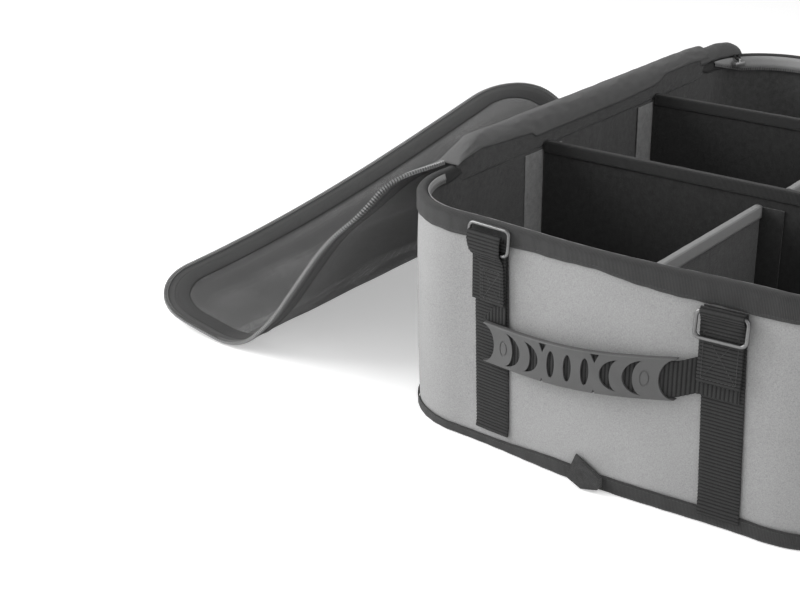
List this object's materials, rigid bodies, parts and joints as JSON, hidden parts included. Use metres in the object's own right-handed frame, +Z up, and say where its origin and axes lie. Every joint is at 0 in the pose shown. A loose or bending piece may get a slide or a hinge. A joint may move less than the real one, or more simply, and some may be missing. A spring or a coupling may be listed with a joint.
{
  "type": "folding storage box",
  "caption": "Open fabric storage box with felt dividers, webbing straps with wire rings, rubber-gripped carry handles and a zipped mesh lid hanging open over one side.",
  "frame": {"origin": "centre of the box's underside, on the surface that it stands on", "axes": "+X along the short handle walls, +Y from the front handle wall to the rear one, +Z up; the lid is hinged on the -X long wall"},
  "size_m": [0.8884, 0.799, 0.2422],
  "materials": {
    "wall_fabric": "grey plain-woven polyester with fine light and dark flecks",
    "board": "stiffener board sewn between the fabric layers",
    "felt": "dark brushed felt lining",
    "binding": "black woven binding tape, folded and stitched",
    "pale_binding": "grey ribbed binding tape",
    "webbing": "black ribbed webbing",
    "border_fabric": "dark coated polyester",
    "net": "dark grey fine mesh",
    "zip_tape": "woven zip tape",
    "zip_coil": "nylon zip coil",
    "hook_tape": "hook-and-loop tape",
    "rubber": "matt moulded rubber",
    "cord": "thin black cord",
    "wire": "plated steel wire"
  },
  "bodies": {
    "box": {"base_binding": "binding", "base_board": "board", "base_lining": "felt", "base_panel": "wall_fabric", "base_tab": "webbing", "box_zip_coil": "zip_coil", "box_zip_tape": "zip_tape", "front_cross_divider_binding": "binding", "front_cross_divider_panel": "felt", "front_cross_divider_tab_left": "hook_tape", "front_cross_divider_tab_right": "hook_tape", "front_grip": "rubber", "front_handle_fold": "webbing", "front_handle_webbing": "webbing", "front_loop_left": "webbing", "front_loop_right": "webbing", "front_small_divider_binding": "pale_binding", "front_small_divider_panel": "felt", "front_small_divider_tab_front": "hook_tape", "front_small_divider_tab_rear": "hook_tape", "front_strap_left": "webbing", "front_strap_right": "webbing", "hinge_strip": "border_fabric", "middle_small_divider_binding": "pale_binding", "middle_small_divider_panel": "felt", "middle_small_divider_tab_front": "hook_tape", "middle_small_divider_tab_rear": "hook_tape", "rear_cross_divider_binding": "binding", "rear_cross_divider_panel": "felt", "rear_cross_divider_tab_left": "hook_tape", "rear_cross_divider_tab_right": "hook_tape", "rear_grip": "rubber", "rear_handle_fold": "webbing", "rear_handle_webbing": "webbing", "rear_loop_left": "webbing", "rear_loop_right": "webbing", "rear_strap_left": "webbing", "rear_strap_right": "webbing", "rim_binding": "binding", "wall_lining": "felt", "wall_shell": "wall_fabric", "wall_stiffener": "board", "zip_slider": "wire"},
    "lid": {"lid_border": "border_fabric", "lid_mesh": "net", "lid_zip_coil": "zip_coil", "lid_zip_tape": "zip_tape"},
    "front_left_ring": {"front_ring_left": "wire"},
    "front_right_ring": {"front_ring_right": "wire"},
    "rear_left_ring": {"rear_ring_left": "wire"},
    "rear_right_ring": {"rear_ring_right": "wire"},
    "pull": {"zip_pull": "cord"}
  },
  "joints": [
    {"name": "lid_hinge", "type": "hinge", "parent": "box", "child": "lid", "pos_m": [-0.255, 0, 0.2334], "axis": [0, 1, 0], "range_deg": [0, 180]},
    {"name": "front_left_ring_hinge", "type": "hinge", "parent": "box", "child": "front_left_ring", "pos_m": [-0.11802, -0.38436, 0.203], "axis": [0.9978, -0.0662, 0], "range_deg": [-2, 178]},
    {"name": "front_right_ring_hinge", "type": "hinge", "parent": "box", "child": "front_right_ring", "pos_m": [0.11802, -0.38436, 0.203], "axis": [0.9978, 0.0662, 0], "range_deg": [-172, 0]},
    {"name": "rear_left_ring_hinge", "type": "hinge", "parent": "box", "child": "rear_left_ring", "pos_m": [0.11802, 0.38436, 0.203], "axis": [-0.9978, 0.0662, 0], "range_deg": [-172, 0]},
    {"name": "rear_right_ring_hinge", "type": "hinge", "parent": "box", "child": "rear_right_ring", "pos_m": [-0.11802, 0.38436, 0.203], "axis": [-0.9978, -0.0662, 0], "range_deg": [-172, 0]},
    {"name": "zip_pull_hinge", "type": "hinge", "parent": "box", "child": "pull", "pos_m": [-0.22258, 0.32198, 0.2254], "axis": [0.5, 0.866, 0], "range_deg": [0, 140]}
  ]
}
